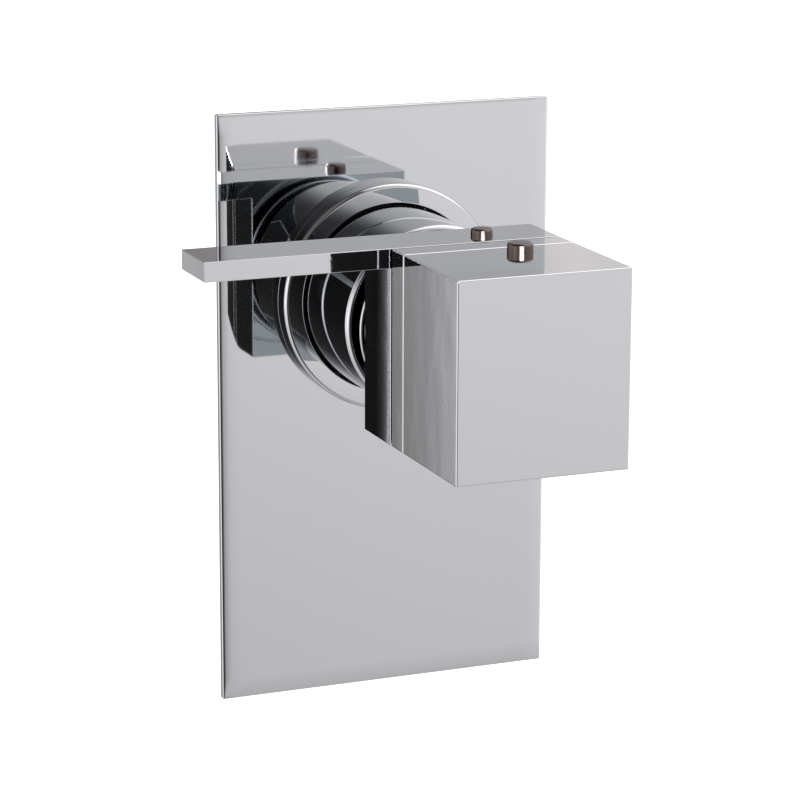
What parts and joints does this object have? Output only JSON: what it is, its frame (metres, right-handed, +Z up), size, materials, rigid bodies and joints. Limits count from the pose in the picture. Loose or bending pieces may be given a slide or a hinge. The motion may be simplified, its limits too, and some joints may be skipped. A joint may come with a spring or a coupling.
{
  "type": "thermostatic shower valve",
  "caption": "Concealed thermostatic shower valve: tall polished wall plate, round collar and sleeve, flow lever with a flat bar, square temperature knob, stop buttons on top",
  "frame": {"origin": "centre of the plate's back, on the finished wall; the valve's axis is 36.5 mm above it", "axes": "+X to the right as the user faces the wall, +Y into the wall, +Z up"},
  "size_m": [0.148, 0.2046, 0.2],
  "materials": {
    "chrome": "polished plate",
    "chrome_plate": "polished plate",
    "chrome_buttons": "satin, darker",
    "rubber": "moulded",
    "foam": "closed-cell sheet",
    "brass_cast": "dezincification-resistant casting",
    "brass": "turned",
    "steel": "stainless",
    "zinc_steel": "zinc-plated",
    "plastic_white": "moulded",
    "plastic_grey": "glass-filled",
    "plastic_black": "moulded",
    "ceramic": "lapped",
    "hot_spring": "stainless wire"
  },
  "bodies": {
    "fixed": {"wall_plate": "chrome_plate", "plate_gasket": "foam", "collar": "chrome", "collar_seal": "rubber", "sleeve": "chrome", "bearing_cap": "chrome", "sleeve_holder": "plastic_grey", "flow_stop_ring": "plastic_white", "temp_stop_ring": "plastic_white", "stop_tube": "brass", "tube_seals": "rubber", "rod_seal": "rubber", "cartridge_body": "plastic_white", "cartridge_seals": "rubber", "fixed_disc": "ceramic", "disc_seal": "rubber", "partition_insert": "plastic_grey", "return_spring": "hot_spring", "cartridge_end_cap": "plastic_grey", "bonnet_nut": "brass", "valve_body": "brass_cast", "hot_check_body": "plastic_white", "hot_check_spring": "hot_spring", "hot_strainer": "steel", "cold_check_body": "plastic_white", "cold_check_spring": "hot_spring", "cold_strainer": "steel", "bracket": "zinc_steel", "bracket_screws": "zinc_steel"},
    "lever": {"flow_lever": "chrome", "lever_set_screw": "steel", "flow_button_guide": "plastic_grey", "flow_button_spring": "hot_spring", "flow_extension": "brass", "flow_spindle": "brass", "spindle_clip": "steel", "rotating_disc": "ceramic"},
    "flow_button": {"flow_button": "chrome_buttons"},
    "knob": {"knob_carrier": "chrome", "knob_shell": "chrome", "knob_screws": "zinc_steel", "knob_set_screw": "steel", "temp_button_guide": "plastic_grey", "temp_button_spring": "hot_spring", "temp_extension": "brass", "temp_spindle": "brass"},
    "temp_button": {"temp_button": "chrome_buttons"},
    "thermostat": {"adjusting_nut": "brass", "overload_spring": "hot_spring", "wax_element": "brass", "shuttle": "plastic_black"},
    "hot_poppet": {"hot_check_poppet": "plastic_black"},
    "cold_poppet": {"cold_check_poppet": "plastic_black"}
  },
  "joints": [
    {"name": "lever_turn", "type": "hinge", "parent": "fixed", "child": "lever", "pos_m": [0, 0, 0.0365], "axis": [0, -1, 0], "range_deg": [-90, 90]},
    {"name": "knob_turn", "type": "hinge", "parent": "fixed", "child": "knob", "pos_m": [0, 0, 0.0365], "axis": [0, -1, 0], "range_deg": [-165, 60]},
    {"name": "thermostat_travel", "type": "slide", "parent": "fixed", "child": "thermostat", "axis": [0, 1, 0], "range_m": [-0.0019, 0.0007], "deforming": ["return_spring"]},
    {"name": "flow_button_press", "type": "slide", "parent": "lever", "child": "flow_button", "axis": [0, 0, -1], "range_m": [0, 0.0016], "stiffness_N_per_m": 900, "deforming": ["flow_button_spring"]},
    {"name": "temp_button_press", "type": "slide", "parent": "knob", "child": "temp_button", "axis": [0, 0, -1], "range_m": [0, 0.0022], "stiffness_N_per_m": 900, "deforming": ["temp_button_spring"]},
    {"name": "hot_check_lift", "type": "slide", "parent": "fixed", "child": "hot_poppet", "axis": [0, 0, 1], "range_m": [0, 0.002], "stiffness_N_per_m": 60, "deforming": ["hot_check_spring"]},
    {"name": "cold_check_lift", "type": "slide", "parent": "fixed", "child": "cold_poppet", "axis": [0, 0, 1], "range_m": [0, 0.002], "stiffness_N_per_m": 60, "deforming": ["cold_check_spring"]}
  ],
  "couplings": [
    {"joint": "thermostat_travel", "follows": "knob_turn", "m_per_rad": 0.000637}
  ]
}
